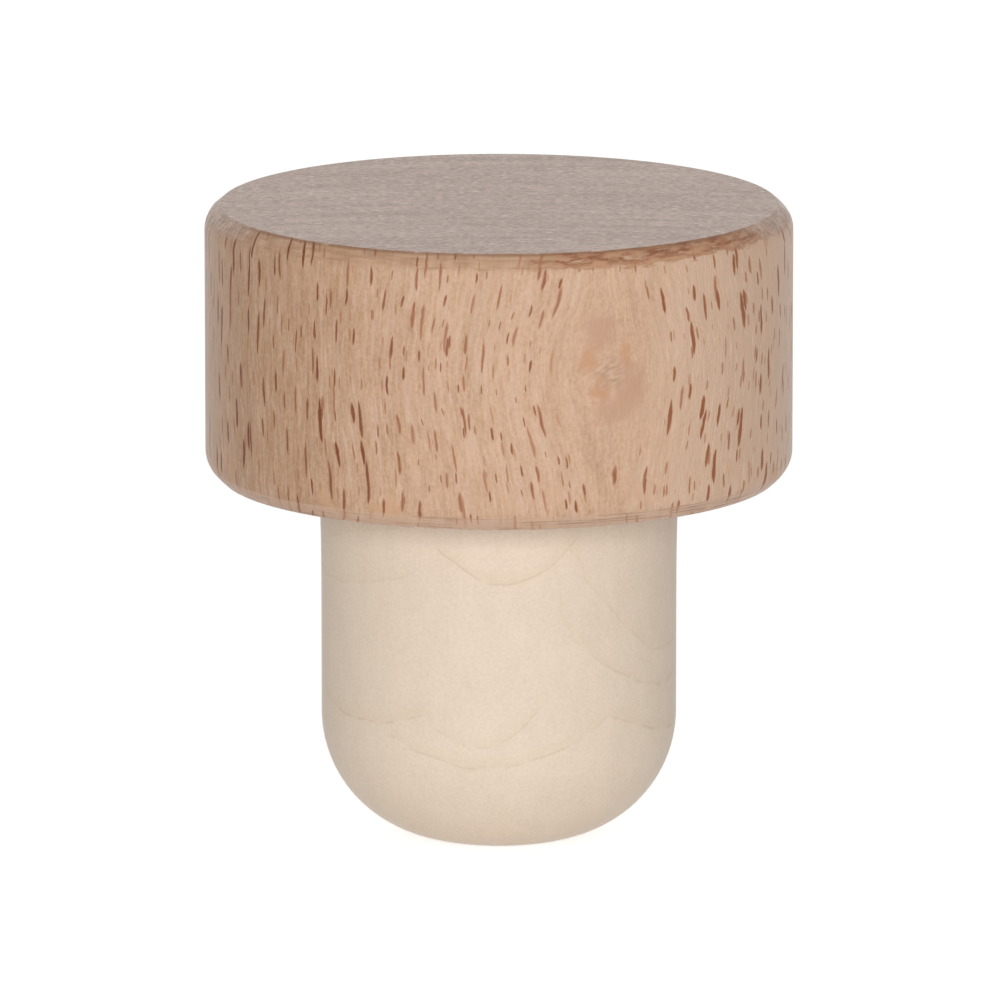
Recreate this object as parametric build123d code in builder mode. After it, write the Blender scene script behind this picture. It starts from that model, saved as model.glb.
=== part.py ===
from build123d import *
import os

os.makedirs("parts", exist_ok=True)

# A T-shaped bottle stopper: a turned beech cap glued on a moulded synthetic shank.
# Lengths are millimetres. +Z runs up the stopper's axis. The origin is on that axis, in the
# plane of the cap's underside, where the stopper comes to rest on the lip of a bottle.

# Wooden cap: a short disc with its fibres standing along the axis and a chamfer on each rim
cap_diameter = 32.0
cap_height = 15.0
top_chamfer_width = 0.85
top_chamfer_height = 0.7
top_chamfer_easing = 1.4
lower_chamfer_width = 0.85
lower_chamfer_height = 0.8
lower_chamfer_easing = 1.6

# Shank: a parallel sealing wall, a slight swell up to the shoulder and a round nose
shank_diameter = 19.4
shank_length = 20.0
swell_diameter = 19.66
swell_length = 6.0
nose_radius = 6.85

# Glued joint: a spigot on the shank stands in a blind bore in the cap
spigot_diameter = 12.0
spigot_length = 8.0
spigot_chamfer = 0.6
spigot_root_fillet = 0.3
glue_clearance = 0.1
bore_end_gap = 0.5
bore_lead_in = 0.5

# Sizes that follow from the ones above
bore_diameter = spigot_diameter + 2 * glue_clearance
bore_depth = spigot_length + bore_end_gap
shank_radius = shank_diameter / 2
spigot_radius = spigot_diameter / 2
nose_flat_radius = shank_radius - nose_radius

# Wooden cap, turned from a beech rod, drilled from below
with BuildPart() as wooden_cap:
    with BuildSketch(Plane.XY):
        Circle(cap_diameter / 2)
    extrude(amount=cap_height)

    top_face = wooden_cap.faces().sort_by(Axis.Z)[-1]
    chamfer(
        top_face.edges(),
        length=top_chamfer_width,
        length2=top_chamfer_height,
        reference=top_face,
    )
    underside = wooden_cap.faces().sort_by(Axis.Z)[0]
    chamfer(
        underside.edges(),
        length=lower_chamfer_width,
        length2=lower_chamfer_height,
        reference=underside,
    )

    # Sanding rounds the edge where each chamfer meets the side
    side_rims = wooden_cap.faces().filter_by(GeomType.CYLINDER)[0].edges()
    side_rims = side_rims.filter_by(GeomType.CIRCLE).sort_by(Axis.Z)
    fillet(side_rims[-1], top_chamfer_easing)
    side_rims = wooden_cap.faces().filter_by(GeomType.CYLINDER)[0].edges()
    side_rims = side_rims.filter_by(GeomType.CIRCLE).sort_by(Axis.Z)
    fillet(side_rims[0], lower_chamfer_easing)

    # Blind bore for the spigot, with a lead-in at its mouth
    with Locations(Plane(origin=(0, 0, 0), z_dir=(0, 0, -1))):
        Hole(bore_diameter / 2, depth=bore_depth)
    bore_wall = wooden_cap.faces().filter_by(GeomType.CYLINDER).sort_by(SortBy.RADIUS)[0]
    bore_mouth = bore_wall.edges().filter_by(GeomType.CIRCLE).sort_by(Axis.Z)[0]
    chamfer(bore_mouth, length=bore_lead_in)

wooden_cap.part.label = "wooden_cap"
export_step(wooden_cap.part, "parts/wooden_cap.step")

# Shank, moulded in one piece with its spigot
with BuildPart() as shank:
    with BuildSketch(Plane.XZ):
        with BuildLine():
            nose_flat = Line((0, -shank_length), (nose_flat_radius, -shank_length))
            nose_arc = JernArc(
                start=nose_flat @ 1,
                tangent=nose_flat % 1,
                radius=nose_radius,
                arc_size=90,
            )
            wall = Line(nose_arc @ 1, (shank_radius, -swell_length))
            swell = TangentArc(wall @ 1, (swell_diameter / 2, 0), tangent=wall % 1)
            Polyline(
                swell @ 1,
                (spigot_radius, 0),
                (spigot_radius, spigot_length),
                (0, spigot_length),
                nose_flat @ 0,
            )
        make_face()
    revolve(axis=Axis.Z)

    spigot_wall = shank.faces().filter_by(GeomType.CYLINDER).sort_by(SortBy.RADIUS)[0]
    spigot_rims = spigot_wall.edges().filter_by(GeomType.CIRCLE).sort_by(Axis.Z)
    chamfer(spigot_rims[-1], length=spigot_chamfer)
    spigot_wall = shank.faces().filter_by(GeomType.CYLINDER).sort_by(SortBy.RADIUS)[0]
    spigot_rims = spigot_wall.edges().filter_by(GeomType.CIRCLE).sort_by(Axis.Z)
    fillet(spigot_rims[0], spigot_root_fillet)

shank.part.label = "shank"
export_step(shank.part, "parts/shank.step")
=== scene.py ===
import math

import bpy
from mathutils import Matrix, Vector


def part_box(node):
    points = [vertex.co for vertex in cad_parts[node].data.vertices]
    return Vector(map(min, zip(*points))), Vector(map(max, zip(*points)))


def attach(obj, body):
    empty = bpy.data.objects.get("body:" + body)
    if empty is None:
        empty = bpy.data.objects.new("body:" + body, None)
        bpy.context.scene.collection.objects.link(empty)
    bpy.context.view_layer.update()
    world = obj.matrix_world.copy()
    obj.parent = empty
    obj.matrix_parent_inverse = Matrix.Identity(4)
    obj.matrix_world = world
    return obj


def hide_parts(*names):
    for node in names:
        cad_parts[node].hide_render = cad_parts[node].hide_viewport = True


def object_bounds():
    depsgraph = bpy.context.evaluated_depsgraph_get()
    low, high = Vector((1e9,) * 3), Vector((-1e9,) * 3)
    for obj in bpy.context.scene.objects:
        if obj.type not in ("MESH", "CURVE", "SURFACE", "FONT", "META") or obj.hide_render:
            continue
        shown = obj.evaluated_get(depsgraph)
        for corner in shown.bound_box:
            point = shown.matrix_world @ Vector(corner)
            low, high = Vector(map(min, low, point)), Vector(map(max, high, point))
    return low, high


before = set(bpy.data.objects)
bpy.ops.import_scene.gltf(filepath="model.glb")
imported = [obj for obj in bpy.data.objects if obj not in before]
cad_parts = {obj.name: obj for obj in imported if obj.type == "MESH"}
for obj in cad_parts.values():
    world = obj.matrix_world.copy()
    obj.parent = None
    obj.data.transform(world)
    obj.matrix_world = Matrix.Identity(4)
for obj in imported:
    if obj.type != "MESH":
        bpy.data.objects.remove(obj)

cad_low, cad_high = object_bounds()
bpy.ops.object.select_all(action="DESELECT")


# Stage. The stopper stands on its nose on a sheet of white paper that runs out of sight, with
# white paper all round it, as in a light tent. The sheet keeps the stopper's soft shadow.
class Field:
    """A number that varies over a surface. Sums with it add Math nodes to its finish."""

    def __init__(self, finish, output):
        self.finish = finish
        self.output = output

    def __add__(self, other):
        return self.finish.math("ADD", self, other)

    def __radd__(self, other):
        return self.finish.math("ADD", other, self)

    def __sub__(self, other):
        return self.finish.math("SUBTRACT", self, other)

    def __rsub__(self, other):
        return self.finish.math("SUBTRACT", other, self)

    def __mul__(self, other):
        return self.finish.math("MULTIPLY", self, other)

    def __truediv__(self, other):
        return self.finish.math("DIVIDE", self, other)

    def __rtruediv__(self, other):
        return self.finish.math("DIVIDE", other, self)

    def __pow__(self, power):
        return self.finish.math("POWER", self, power)

    def __abs__(self):
        return self.finish.math("ABSOLUTE", self)


class Finish:
    """The nodes of one finish, laid down in the order in which they build on each other."""

    def __init__(self, owner):
        owner.use_nodes = True
        self.tree = owner.node_tree
        self.tree.nodes.clear()

    def feed(self, socket, value):
        """Links a field or an output to this socket, or sets a plain value there."""
        value = getattr(value, "output", value)
        if isinstance(value, bpy.types.NodeSocket):
            self.tree.links.new(value, socket)
        else:
            socket.default_value = value

    def node(self, kind, inputs=None, **settings):
        """A new node of this kind with these settings and inputs."""
        made = self.tree.nodes.new("ShaderNode" + kind)
        for name, value in settings.items():
            setattr(made, name, value)
        for name, value in (inputs or {}).items():
            self.feed(made.inputs[name], value)
        return made

    def math(self, operation, *terms):
        made = self.node("Math", dict(enumerate(terms)), operation=operation)
        return Field(self, made.outputs[0])

    def rise(self, value, low, high):
        """0 at low, 1 at high and a smooth rise between. low may be the larger of the two."""
        limits = {"Value": value, "From Min": low, "From Max": high}
        made = self.node("MapRange", limits, interpolation_type="SMOOTHSTEP")
        return Field(self, made.outputs["Result"])

    def blend(self, amount, first, second):
        """The first colour, turned into the second by this amount."""
        made = self.node("Mix", data_type="RGBA")
        sockets = {socket.identifier: socket for socket in made.inputs}
        self.feed(sockets["Factor_Float"], amount)
        self.feed(sockets["A_Color"], first)
        self.feed(sockets["B_Color"], second)
        return next(s for s in made.outputs if s.identifier == "Result_Color")

    def mix(self, amount, first, second):
        """The first shader, turned into the second by this amount."""
        return self.node("MixShader", {0: amount, 1: first, 2: second}).outputs[0]

    def seen(self):
        """1 for what the camera sees itself or in a gloss, and 0 for light on other things."""
        ray = self.node("LightPath").outputs
        seen = self.math("MAXIMUM", ray["Is Camera Ray"], ray["Is Glossy Ray"])
        return self.math("MAXIMUM", seen, ray["Is Transmission Ray"])

    def cover(self, shader, kind="OutputMaterial"):
        """Makes this shader the finish."""
        self.node(kind, {"Surface": shader})


sheet_size = 6.0
sheet_white = (0.8, 0.8, 0.8, 1)
sheet_glow = 0.13
sheet_seen_glow = 0.67

bpy.ops.mesh.primitive_plane_add(size=sheet_size, location=(0, 0, cad_low[2]))
sheet = bpy.context.object
sheet.name = "paper_sheet"
paper = bpy.data.materials.new("white_paper")
finish = Finish(paper)
white = (1, 1, 1, 1)
matt = finish.node("BsdfDiffuse", {"Color": sheet_white}).outputs[0]
glow = finish.node("Emission", {"Color": white, "Strength": sheet_glow}).outputs[0]
seen_glow = finish.node("Emission", {"Color": white, "Strength": sheet_seen_glow}).outputs[0]
glow = finish.mix(finish.seen(), glow, seen_glow)
finish.cover(finish.node("AddShader", {0: matt, 1: glow}).outputs[0])
sheet.data.materials.append(paper)

# Light. The tent lights the stopper evenly, a broad lamp stands low in front of it and a
# weaker one behind it. The camera and the sheen see the tent's walls as plain white.
tent_level = 0.31
front_level = 0.66
back_level = 0.25
lamp_width = 1.0
lamp_height = 0.5
lamp_distance = 1.5
lamp_rise = math.radians(13)

world = bpy.data.worlds.new("light_tent")
bpy.context.scene.world = world
finish = Finish(world)
tent = finish.node("Background", {"Color": white, "Strength": tent_level}).outputs[0]
wall = finish.node("Background", {"Color": white, "Strength": 1.0}).outputs[0]
finish.cover(finish.mix(finish.seen(), tent, wall), kind="OutputWorld")

lamps = [("front_lamp", front_level, -1), ("back_lamp", back_level, 1)]
for lamp_name, level, toward_back in lamps:
    lamp_side = Vector((0, toward_back * math.cos(lamp_rise), math.sin(lamp_rise)))
    bpy.ops.object.light_add(type="AREA", location=lamp_side * lamp_distance)
    lamp = bpy.context.object
    lamp.name = lamp_name
    lamp.data.shape = "RECTANGLE"
    lamp.data.size = lamp_width
    lamp.data.size_y = lamp_height
    lamp.data.energy = level * (math.pi * lamp_distance) ** 2
    lamp.rotation_mode = "QUATERNION"
    lamp.rotation_quaternion = lamp_side.to_track_quat("Z", "Y")

# Camera. It stands 0.72 m away and looks 11.6 degrees down along +Y through a long lens.
camera_distance = 0.72
camera_elevation = math.radians(11.63)
camera_aim = Vector((0.00006, 0.0, -0.00148))
camera_lens = 475.0
camera_film = 36.0
near_clip = 0.01
far_clip = 20.0

camera_side = Vector((0, -math.cos(camera_elevation), math.sin(camera_elevation)))
bpy.ops.object.camera_add(location=camera_aim + camera_side * camera_distance)
camera = bpy.context.object
camera.name = "camera"
camera.rotation_mode = "QUATERNION"
camera.rotation_quaternion = camera_side.to_track_quat("Z", "Y")
camera.data.sensor_width = camera_film
camera.data.lens = camera_lens
camera.data.clip_start = near_clip
camera.data.clip_end = far_clip
bpy.context.scene.camera = camera
bpy.context.scene.view_settings.view_transform = "Standard"


# Wooden cap. A short disc of steamed beech, turned from a rod so that its fibres stand along
# the axis, sanded flat on its end grain and rounded off at both chamfered rims. It is drilled
# from below for the shank's spigot.
mm = 0.001
cap_low, cap_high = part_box("wooden_cap")
cap_radius = (cap_high[0] - cap_low[0]) / 2
cap_base = cap_low[2]
cap_top = cap_high[2]
top_chamfer_width = 0.85 * mm
top_chamfer_height = 0.7 * mm
top_chamfer_easing = 1.4 * mm
lower_chamfer_width = 0.85 * mm
lower_chamfer_height = 0.8 * mm
lower_chamfer_easing = 1.6 * mm
bore_radius = 6.1 * mm
bore_depth = 8.5 * mm
bore_lead_in = 0.5 * mm
cap_segments = 480
bore_steps = 3
easing_steps = 10
chamfer_steps = 4
underside_steps = 10
top_steps = 24
pole_radius = 0.4 * mm
smooth_below = math.radians(25)


def steps(start, end, count):
    """Points of a profile in equal steps, from after start to end."""
    for n in range(1, count + 1):
        yield tuple(a + (b - a) * n / count for a, b in zip(start, end))


def eased(before, corner, after, radius, count):
    """Points of a profile round a corner that is eased to this radius."""
    corner = Vector(corner)
    back = (Vector(before) - corner).normalized()
    on = (Vector(after) - corner).normalized()
    half_turn = (math.pi - back.angle(on)) / 2
    centre = corner + (back + on).normalized() * radius / math.cos(half_turn)
    start = corner + back * radius * math.tan(half_turn) - centre
    end = corner + on * radius * math.tan(half_turn) - centre
    for n in range(count + 1):
        yield tuple(centre + start.slerp(end, n / count) * radius)


def turned(name, segments, profile):
    """A closed round piece, drawn out from ring to ring as on a lathe."""
    (radius, height), *rest = profile
    bpy.ops.object.select_all(action="DESELECT")
    bpy.ops.mesh.primitive_circle_add(
        vertices=segments, radius=radius, fill_type="NGON", location=(0, 0, height)
    )
    piece = bpy.context.object
    piece.name = name
    bpy.ops.object.transform_apply(location=True, rotation=False, scale=False)
    bpy.ops.object.mode_set(mode="EDIT")
    bpy.ops.mesh.select_mode(type="EDGE")
    bpy.ops.mesh.select_all(action="SELECT")
    for next_radius, next_height in rest:
        bpy.ops.mesh.extrude_edges_move(
            TRANSFORM_OT_translate={"value": (0, 0, next_height - height)}
        )
        grow = next_radius / radius
        bpy.ops.transform.resize(value=(grow, grow, 1), center_override=(0, 0, next_height))
        radius, height = next_radius, next_height
    bpy.ops.mesh.edge_face_add()
    bpy.ops.mesh.select_all(action="SELECT")
    bpy.ops.mesh.normals_make_consistent(inside=False)
    bpy.ops.object.mode_set(mode="OBJECT")
    return piece


lower_rim = (cap_radius - lower_chamfer_width, cap_base)
lower_crease = (cap_radius, cap_base + lower_chamfer_height)
top_crease = (cap_radius, cap_top - top_chamfer_height)
top_rim = (cap_radius - top_chamfer_width, cap_top)
cap_profile = [(bore_radius, cap_base + bore_depth)]
cap_profile += steps(cap_profile[-1], (bore_radius, cap_base + bore_lead_in), bore_steps)
cap_profile += steps(cap_profile[-1], (bore_radius + bore_lead_in, cap_base), 1)
cap_profile += steps(cap_profile[-1], lower_rim, underside_steps)
cap_profile += eased(lower_rim, lower_crease, top_crease, lower_chamfer_easing, easing_steps)
cap_profile += eased(lower_crease, top_crease, top_rim, top_chamfer_easing, easing_steps)
cap_profile += steps(cap_profile[-1], top_rim, chamfer_steps)
cap_profile += steps(cap_profile[-1], (pole_radius, cap_top), top_steps)
cap = turned("beech_cap", cap_segments, cap_profile)

# Sanding by hand leaves both chamfers slightly uneven, most of all halfway up. The rims of the
# flat faces stay crisp.
uneven_by = 0.12 * mm
uneven_length = 2.5 * mm
crisp_share = 0.02
rims = cap.vertex_groups.new(name="sanded_rims")
for vertex in cap.data.vertices:
    out = vertex.co.xy.length
    to_top = (cap_top - vertex.co.z) / top_chamfer_height
    to_base = (vertex.co.z - cap_base) / lower_chamfer_height
    share = min(to_top, to_base)
    if out > lower_rim[0] and crisp_share < share < 1:
        rims.add([vertex.index], 1 - abs(share - 0.5), "REPLACE")
uneven = bpy.data.textures.new("uneven_sanding", "CLOUDS")
uneven.noise_scale = uneven_length
sanding = cap.modifiers.new("sanding", "DISPLACE")
sanding.texture = uneven
sanding.texture_coords = "LOCAL"
sanding.vertex_group = rims.name
sanding.strength = uneven_by
bpy.ops.object.modifier_apply(modifier=sanding.name)
bpy.ops.object.shade_smooth_by_angle(angle=smooth_below)

# Beech. Reddish rays stand in pale straight fibres like short spindles, and the fibres part
# round a small closed knot on the front. Lengths here are millimetres, and the factors of x, y
# and z in clouds are the cycles of its noise in a millimetre.
side_radius = cap_radius / mm
knot_x = 5.9
knot_z = 8.4
knot_bulge = 1.7
knot_core = 2.4
knot_reach = 10.0
knot_height = 5.0
eye_half_width = 3.1
eye_half_height = 5.0
front_blend = 8.0
fibre_relief = 0.03 * mm

# Zones across the cap, each from the x where it begins to the x where it is at its full.
left_side = (-1.0, -14.0)
middle_left = (-7.0, -4.5)
middle_right = (8.5, 6.5)
right_side = (6.5, 10.0)
# The last zone is the cap's two limbs, where a sheen is painted.
painted_sheen_limbs = (13.4, 16.7)

# Cool fibre is also the tint of the painted sheen on the limbs.
pale_fibre = (0.665, 0.432, 0.293, 1)
brown_fibre = (0.425, 0.25, 0.145, 1)
cool_fibre_and_sheen = (0.65, 0.468, 0.358, 1)
silver_fibre = (0.695, 0.49, 0.358, 1)
# Bright fibre is partly a painted glint colour.
pale_fibre_and_glint = (0.75, 0.555, 0.42, 1)

beech = bpy.data.materials.new("steamed_beech")
finish = Finish(beech)


def places():
    """The place of a point of the piece that gets this finish, as x, y and z in mm."""
    place = finish.node("TexCoord").outputs["Object"]
    scale = (1 / mm, 1 / mm, 1 / mm)
    place = finish.node("Mapping", {"Vector": place, "Scale": scale}).outputs[0]
    axes = finish.node("SeparateXYZ", {0: place}).outputs
    return [Field(finish, axes[axis]) for axis in "XYZ"]


def vector(*lengths):
    """A place made up of two or three lengths."""
    return finish.node("CombineXYZ", dict(enumerate(lengths))).outputs[0]


def clouds(*lengths, detail=2.0, roughness=0.5):
    """Soft noise about 0, with one cycle to each unit of these lengths."""
    inputs = {"Vector": vector(*lengths), "Scale": 1.0, "Detail": detail, "Roughness": roughness}
    return Field(finish, finish.node("TexNoise", inputs).outputs[0]) - 0.5


x, y, z = places()
in_front = finish.rise(y, front_blend, -front_blend)
from_knot = x - knot_x
above_knot = z - knot_z
to_one_side = from_knot / (from_knot * from_knot + knot_core**2) ** 0.5
fading = knot_reach**2 / (from_knot * from_knot + knot_reach**2)
level = finish.math("EXPONENT", above_knot * above_knot / -(knot_height**2))
bulge = to_one_side * fading * level * in_front * knot_bulge
steepness = knot_core**2 / (from_knot * from_knot + knot_core**2) ** 1.5
spread = 1.0 - steepness * fading * level * in_front * knot_bulge
knot_spread = from_knot * from_knot / eye_half_width**2
knot_spread = knot_spread + above_knot * above_knot / eye_half_height**2
eye = finish.rise(knot_spread, 1.25, 0.7) * in_front

sway = clouds(x * 0.2, y * 0.15, z * 0.1, detail=1.0) * 1.2
kink = clouds(x * 1.1, y * 1.1, z * 0.6) * 0.34
radius = (x * x + y * y) ** 0.5
upright = (1.0 - radius / side_radius) * x * y * 1.4 / (radius * radius)
turn = finish.math("ARCTAN2", x, y * -1.0) + upright + (sway + kink - bulge) / side_radius
round_x = finish.math("SINE", turn) * side_radius
round_y = finish.math("COSINE", turn) * side_radius


def fibres(across, along, detail=2.0):
    """Noise drawn out along the fibres, with this many cycles in a millimetre."""
    return clouds(round_x * across, round_y * across, z * along, detail=detail)


left = finish.rise(x, *left_side)
middle = finish.rise(x, *middle_left) * finish.rise(x, *middle_right) * in_front
beyond_knot = finish.rise(x, *right_side)
# Painted sheen: the cap's left and right limbs are made paler and cooler, as a sheen at their
# grazing edges.
painted_limb_sheen = finish.rise(abs(x), *painted_sheen_limbs)
calm = 1.0 - eye * 0.5
bands = fibres(0.9, 0.07)
streaks = fibres(4.6, 0.5)
hairs = fibres(9.0, 1.6, detail=1.0)
specks = clouds(x * 6.0, y * 6.0, z * 5.0)
tone = 0.68 + (bands * 0.6 + streaks * 0.8 * calm + hairs * 0.9 + specks * 0.9)
tone = tone - left * 0.49 + painted_limb_sheen * 0.32
wood = finish.blend(tone, brown_fibre, pale_fibre)
cool = finish.rise(fibres(1.7, 0.3, detail=3.0), -0.06, 0.16) * calm
wood = finish.blend(cool * (0.3 - left * 0.15), wood, cool_fibre_and_sheen)
# Painted sheen cools the limbs.
wood = finish.blend(painted_limb_sheen * 0.38, wood, cool_fibre_and_sheen)
wood = finish.blend(beyond_knot * 0.5, wood, silver_fibre)
# Pale streaks along the fibres: partly paler fibre, partly painted glints.
pale_streaks_and_glints = finish.rise(streaks - hairs, 0.10, 0.26) * calm
wood = finish.blend(pale_streaks_and_glints * (0.3 + beyond_knot * 0.2), wood, pale_fibre_and_glint)

# The closed knot is a loose ring of orange and rosy patches, each at a place across and up,
# with half its width and height, its strength and its colour. A scuff crosses the knot in
# short pale and dark strokes.
knot_orange = (0.55, 0.295, 0.165, 1)
knot_rose = (0.53, 0.31, 0.205, 1)
scuff_pale = (0.70, 0.54, 0.45, 1)
scuff_dark = (0.42, 0.29, 0.205, 1)
knot_patches = [
    (4.8, 9.3, 0.5, 0.7, 0.9, knot_orange),
    (5.4, 7.6, 0.4, 0.9, 0.9, knot_orange),
    (6.75, 9.3, 0.35, 0.8, 0.8, knot_orange),
    (5.4, 10.8, 0.9, 0.9, 0.9, knot_rose),
    (7.0, 7.7, 0.8, 1.2, 0.9, knot_rose),
    (6.1, 6.4, 0.9, 0.6, 0.7, knot_rose),
    (5.85, 8.5, 0.5, 0.8, 0.7, knot_rose),
]
fray = clouds(x * 1.6, y * 1.6, z * 1.6) * 1.6


def patch(across, up, half_width, half_height):
    """A soft patch with a frayed edge on the front: 1 in its middle and 0 outside it."""
    aside = (x + fray - across) / half_width
    above = (z + fray - up) / half_height
    return finish.rise(aside * aside + above * above, 2.4, -0.4) * in_front


for *where, strength, colour in knot_patches:
    wood = finish.blend(patch(*where) * strength, wood, colour)
strokes = clouds(x * 1.8 + z * 0.9, 0.0, z * 5.0 - x * 2.0)
scuffed = patch(5.65, 8.75, 0.45, 0.5)
scuffed = finish.math("MAXIMUM", scuffed, patch(6.05, 8.1, 0.45, 0.5))
wood = finish.blend(scuffed * finish.rise(strokes, 0.0, 0.1) * 0.4, wood, scuff_pale)
wood = finish.blend(scuffed * finish.rise(strokes, -0.04, -0.14) * 0.8, wood, scuff_dark)

# The foot rim is pinkish and a little darker, partly its own tone and partly painted facet
# shade, with fine lathe marks, and orange patches lie here and there above it.
lower_crease_z = lower_crease[1] / mm
foot_orange = (0.60, 0.355, 0.205, 1)
foot_pink_and_shade = (0.62, 0.42, 0.305, 1)
foot_mark = (0.43, 0.265, 0.175, 1)
foot_patches_end = 3.2
wobble = clouds(x * 0.9, y * 0.9, 0.0)
creases = clouds(x * 0.7, y * 0.7, z * 7.0, detail=3.0)
foot_patches = finish.rise(clouds(x * 0.5, y * 0.5, z * 0.3), 0.02, 0.14)
foot_patches = foot_patches * finish.rise(z, foot_patches_end, 1.0)
wood = finish.blend(foot_patches * 0.7, wood, foot_orange)
foot = finish.rise(z + wobble * 0.2, lower_crease_z + 0.02, lower_crease_z - 0.06)
lathe_marks = clouds(x * 0.3, y * 0.3, z * 12.0, detail=1.0)
# Painted shade in part: the lower chamfer is tinted pinker and a little darker, with a crisp
# edge at the crease.
wood = finish.blend(foot * 0.6, wood, foot_pink_and_shade)
lathe_marks = finish.rise(lathe_marks + wobble * 0.4, 0.02, 0.2)
wood = finish.blend(foot * lathe_marks, wood, foot_mark)

# The top rim is tan in front, torn and reddish to the right of the middle, and grey like
# the end grain at its sides and back.
top_z = cap_top / mm
top_crease_z = top_crease[1] / mm
chamfer_tan = (0.44, 0.255, 0.145, 1)
crease_brown = (0.36, 0.185, 0.095, 1)
torn_dark = (0.27, 0.092, 0.040, 1)
torn_light = (0.54, 0.295, 0.17, 1)
torn_pale = (0.62, 0.40, 0.265, 1)
edge_brown = (0.25, 0.12, 0.065, 1)
in_torn = finish.rise(x + wobble * 5.0, 0.5, 3.5) * finish.rise(y, -2.0, -5.0)
grey_off_front = finish.rise(y + wobble * 3.0, -9.0, -5.5)
torn = clouds(x * 0.9, y * 0.9, z * 4.0, detail=4.0, roughness=0.6)
rim_height = z + wobble * 0.3 + torn * in_torn * 1.2
rim = finish.rise(rim_height, top_crease_z - 0.2, top_crease_z + 0.15)
tan = finish.blend(0.36 + creases * 3.0 + wobble * 2.2, chamfer_tan, pale_fibre)
wood = finish.blend(rim * 0.65, wood, tan)
shreds = finish.blend(0.54 + torn * 6.0, torn_dark, torn_light)
shreds = finish.blend(finish.rise(creases - torn, 0.12, 0.3), shreds, torn_pale)
wood = finish.blend(rim * in_torn * 0.9, wood, shreds)
lifted = finish.rise(abs(rim_height - top_crease_z), 0.14, 0.0)
lifted = lifted * finish.rise(creases + in_torn * 0.1, 0.0, 0.1) * (1.0 - grey_off_front)
wood = finish.blend(lifted * 0.6, wood, crease_brown)

# Rays end on the side as reddish spindles, dark at the left and orange at the right, and
# run on over both rims.
ray_edge = (0.50, 0.235, 0.12, 1)
ray_red = (0.235, 0.076, 0.031, 1)
ray_dark = (0.145, 0.042, 0.017, 1)
ray_orange = (0.33, 0.115, 0.045, 1)
ragged = hairs * 0.6 + specks * 0.4 + (beyond_knot * 0.22 + 0.1) * in_front - 0.1


def rays(columns, row, width, length, share, start):
    """The cut ends of rays, 1 in the middle of each spindle and 0 outside it.

    The columns stand round the cap in cells of one row's height, and this share of the cells
    has a spindle of up to this width and length. The start sets their random places.
    """
    column_width = 2 * math.pi * side_radius / columns
    across = turn * (columns / (2 * math.pi))
    column = finish.math("FLOOR", across)
    same_column = finish.math("FLOORED_MODULO", column, columns)
    shift = finish.node("TexWhiteNoise", {"Vector": vector(same_column, start)}).outputs[0]
    up = z / row + Field(finish, shift) * 9.0
    cell = finish.math("FLOOR", up)
    chances = finish.node("TexWhiteNoise", {"Vector": vector(same_column, cell, start)}).outputs
    chance = finish.node("SeparateColor", {0: chances["Color"]}).outputs
    size = Field(finish, chance[0])
    aside = (Field(finish, chance[1]) - 0.5) * (column_width - width)
    strength = Field(finish, chance[2])
    strength = finish.rise(strength, 1.0 - share, 1.12 - share) * (strength * 0.5 + 0.5)
    strength = strength * (size * 0.4 + 0.65)
    from_side = abs((across - column - 0.5) * column_width - aside)
    from_side = from_side / (spread * (size * 0.55 + 0.45) * (width / 2))
    from_middle = abs(up - cell - 0.5) * row / ((size * 0.6 + 0.4) * (length / 2))
    from_middle = from_middle * (1.15 - left * 0.3)
    depth = 1.0 - from_middle**3.5 - from_side + ragged
    return finish.rise(depth, -0.05, 0.85) * strength


long_rays = rays(columns=66, row=3.2, width=0.37, length=2.7, share=0.85, start=1.0)
short_rays = rays(columns=86, row=2.1, width=0.33, length=1.7, share=0.75, start=2.0)
small_rays = rays(columns=150, row=1.2, width=0.24, length=1.0, share=0.55, start=3.0)
spindles = finish.math("MAXIMUM", long_rays, short_rays) * (1.0 - middle * 0.3)
spindles = finish.math("MAXIMUM", spindles, small_rays * (0.5 + middle * 0.3))
spindles = spindles * (1.0 - eye) * (1.0 - rim * in_torn * 0.6 - foot * 0.4)
spindles = spindles * (0.7 + in_front * 0.3)
wood = finish.blend(finish.rise(spindles, 0.0, 0.5) * 0.7, wood, ray_edge)
ray_core = finish.blend(left * 0.8, ray_red, ray_dark)
ray_core = finish.blend(beyond_knot * 0.6, ray_core, ray_orange)
wood = finish.blend(finish.rise(spindles, 0.15, 0.85), wood, ray_core)

# The end grain on the top and the underside is greyish brown, gritty with cut pores and
# faintly ringed. Painted glints run from side to side on it as whitish dashes. A dark line
# parts it from the rim.
top_disc_radius = top_rim[0] / mm
end_pale = (0.735, 0.55, 0.455, 1)
end_dark = (0.41, 0.285, 0.22, 1)
painted_glint_white = (0.95, 0.88, 0.82, 1)
end_noise = clouds(x * 2.6, y * 3.4, 0.0, detail=3.0, roughness=0.75)
rings = clouds(x * 0.07, y * 0.7 + x * x * 0.006, 7.0)
end_tone = 0.5 + (end_noise * 4.0 + rings * 1.2 + creases * rim)
end_grain = finish.blend(end_tone, end_dark, end_pale)
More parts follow.
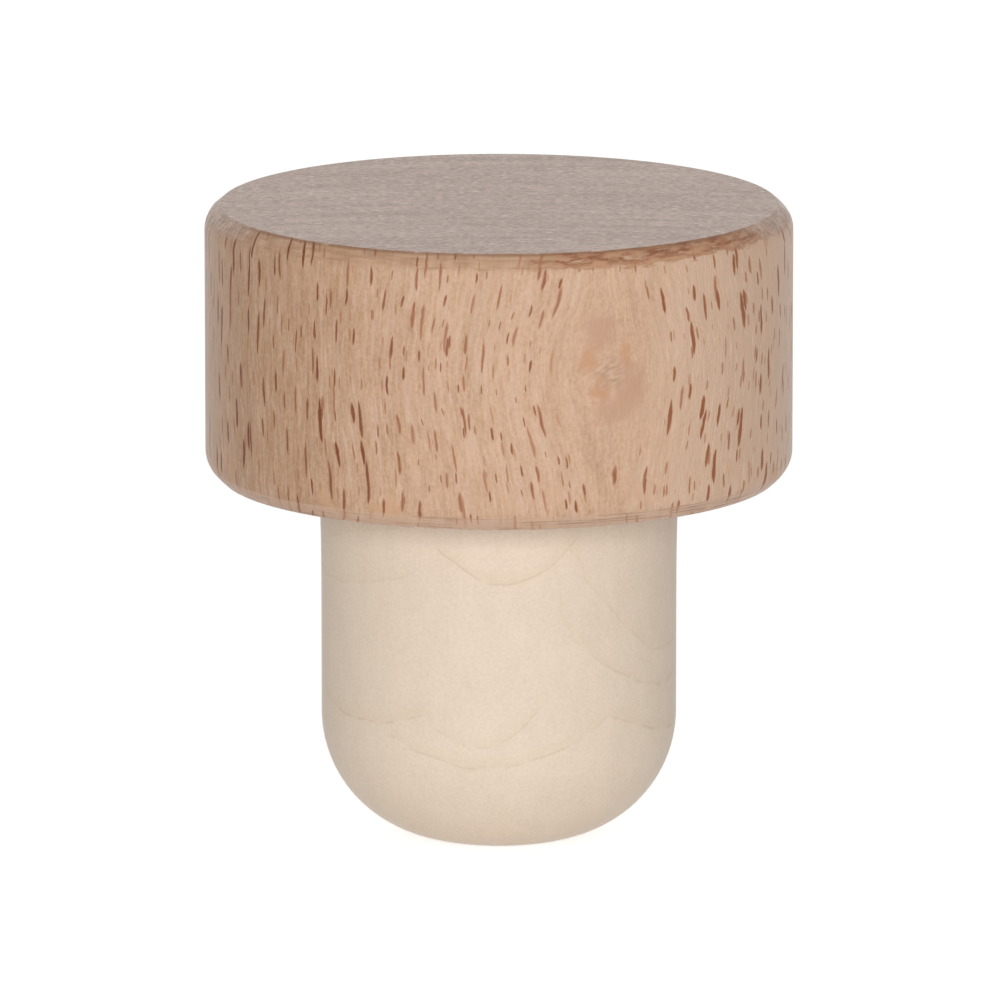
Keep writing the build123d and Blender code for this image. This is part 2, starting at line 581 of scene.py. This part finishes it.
# Painted glints: whitish dashes stand in for highlights on the end grain.
painted_glints = finish.rise(clouds(x * 1.3, y * 3.0, 5.0, detail=3.0), 0.12, 0.22)
end_grain = finish.blend(painted_glints * 0.85, end_grain, painted_glint_white)
edge = finish.rise(z, top_z - 0.2, top_z - 0.05) * (1.0 - grey_off_front)
edge = edge * finish.rise(wobble + in_torn * 0.2, -0.25, -0.05)
wood = finish.blend(edge * 0.65, wood, edge_brown)
disc = finish.rise(radius + wobble * 0.25, top_disc_radius + 0.05, top_disc_radius - 0.05)
disc = disc * finish.rise(z, top_z - 0.3, top_z - 0.2)
top_mask = finish.math("MAXIMUM", disc, rim * grey_off_front * 0.85)
wood = finish.blend(top_mask, wood, end_grain)
underside = finish.rise(z, 0.05, 0.02)
wood = finish.blend(underside, wood, end_grain)


def dry_surface(colour, roughness, sheen, heights, depth):
    """A dull surface with a little sheen and a fine relief of this depth."""
    bump = {"Strength": 1.0, "Distance": depth, "Height": heights}
    inputs = {
        "Base Color": colour,
        "Roughness": roughness,
        "Specular IOR Level": 0.3,
        "Sheen Weight": sheen,
        "Sheen Roughness": 0.3,
        "Normal": finish.node("Bump", bump).outputs[0],
    }
    return finish.node("BsdfPrincipled", inputs).outputs[0]


grooves = hairs * (1.0 - top_mask) + end_noise * top_mask + torn * rim * in_torn * 2.0
finish.cover(dry_surface(wood, 0.6 + top_mask * 0.2, 0.25, grooves, fibre_relief))
cap.data.materials.append(beech)
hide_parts("wooden_cap")
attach(cap, "root")


# Shank. One moulding of cream closed-cell synthetic: a parallel wall that the bottle squeezes,
# a slight swell up to the shoulder under the cap, a round nose, and a spigot glued in the cap.
shank_low, shank_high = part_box("shank")
swell_radius = (shank_high[0] - shank_low[0]) / 2
shoulder = cap_base
wall_radius = 9.7 * mm
swell_length = 6.0 * mm
nose_radius = 6.85 * mm
spigot_radius = 6.0 * mm
spigot_chamfer = 0.6 * mm
shank_segments = 288
nose_steps = 28
wall_steps = 8
swell_steps = 8
spigot_steps = 3
face_steps = 2

swell = swell_radius - wall_radius
nose_flat = wall_radius - nose_radius
nose_centre = shank_low[2] + nose_radius
shank_profile = [(pole_radius, shank_low[2])]
shank_profile += steps(shank_profile[-1], (nose_flat, shank_low[2]), face_steps + 1)
for n in range(1, nose_steps + 1):
    angle = math.pi / 2 * n / nose_steps
    out = nose_radius * math.sin(angle)
    down = nose_radius * math.cos(angle)
    shank_profile.append((nose_flat + out, nose_centre - down))
shank_profile += steps(shank_profile[-1], (wall_radius, shoulder - swell_length), wall_steps)
for n in range(1, swell_steps + 1):
    share = n / swell_steps
    shank_profile.append((wall_radius + swell * share**2, shoulder - swell_length * (1 - share)))
spigot_rim = (spigot_radius, shank_high[2] - spigot_chamfer)
shank_profile += steps(shank_profile[-1], (spigot_radius, shoulder), face_steps)
shank_profile += steps(shank_profile[-1], spigot_rim, spigot_steps)
shank_profile += steps(shank_profile[-1], (spigot_radius - spigot_chamfer, shank_high[2]), 1)
shank_profile += steps(shank_profile[-1], (pole_radius, shank_high[2]), face_steps)
shank = turned("cream_shank", shank_segments, shank_profile)
bpy.ops.object.shade_smooth_by_angle(angle=smooth_below)

# Synthetic. The moulding is faintly mottled, and thin yellowish lines hang in it where flows
# met in the mould. Each has its turn and height at one end and at the other, its sag and its
# strength. Turns round the shank are degrees from the front, heights millimetres. The back
# has the same lines, and they fade out before the seam at either side.
cream = (0.80, 0.67, 0.54, 1)
cream_shade = (0.73, 0.605, 0.48, 1)
flow_yellow = (0.72, 0.575, 0.41, 1)
flow_brown = (0.57, 0.42, 0.29, 1)
line_half_width = 0.12
seam_turn = 88.0
skin_relief = 0.012 * mm
hanging_lines = [
    (-86, -10.9, -25, -11.6, 1.1, 1.0),
    (-25, -11.6, 15, -10.6, 2.1, 0.7),
    (-38, -12.9, 38, -11.8, 1.9, 0.8),
    (38, -11.8, 84, -13.4, 0.6, 1.0),
    (-67, -2.6, -17, -1.0, -0.2, 0.5),
    (-21, -2.2, 26, -1.7, 2.2, 1.0),
    (17, -2.9, 26, -7.6, 0.9, 0.6),
    (26, -7.6, 84, -10.3, 1.6, 0.8),
    (23, -2.1, 84, -8.2, 3.0, 0.6),
    (-86, -5.0, -30, -3.9, 0.5, 0.5),
]

synthetic = bpy.data.materials.new("cream_synthetic")
finish = Finish(synthetic)
x, y, z = places()
waver = clouds(x * 0.5, y * 0.5, z * 0.5, detail=1.0)
degrees = finish.math("ARCTAN2", x, y * -1.0) * (180 / math.pi)
turned_to = finish.math("WRAP", degrees, 90.0, -90.0) + waver * 6.0
height = z + waver * 0.5


def hanging_line(turn_from, height_from, turn_to, height_to, sag, strength):
    """A flow line that hangs between two places: its line, and the stain inside its arc."""
    share = (turned_to - turn_from) / (turn_to - turn_from)
    straight = share * (height_to - height_from) + height_from
    above = height - straight + share * (1.0 - share) * (4 * sag)
    between = finish.rise(share, -0.03, 0.03) * finish.rise(share, 1.03, 0.97) * strength
    line = finish.rise(abs(above), line_half_width, 0.0) * between
    stain = finish.rise(above, -0.1, 0.1) * finish.rise(above, 0.9, 0.1) * between
    return line, stain


lines = 0.0
stains = 0.0
for hanging in hanging_lines:
    line, stain = hanging_line(*hanging)
    lines = finish.math("MAXIMUM", lines, line)
    stains = finish.math("MAXIMUM", stains, stain)
off_side = finish.rise(abs(turned_to), seam_turn, seam_turn - 10.0)
broken = finish.rise(clouds(x * 0.9, y * 0.9, z * 0.9), -0.14, 0.08)
mottle = clouds(x * 6.0, y * 6.0, z * 6.0, detail=2.0)
cloudy = clouds(x * 0.8, y * 0.8, z * 0.4, detail=3.0)
moulding = finish.blend(0.4 + mottle * 2.2 + cloudy * 1.2, cream, cream_shade)
moulding = finish.blend(stains * off_side * 0.3, moulding, flow_yellow)
moulding = finish.blend(lines * off_side * broken * 0.4, moulding, flow_brown)
finish.cover(dry_surface(moulding, 0.6, 0.2, mottle, skin_relief))
shank.data.materials.append(synthetic)
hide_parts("shank")
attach(shank, "root")
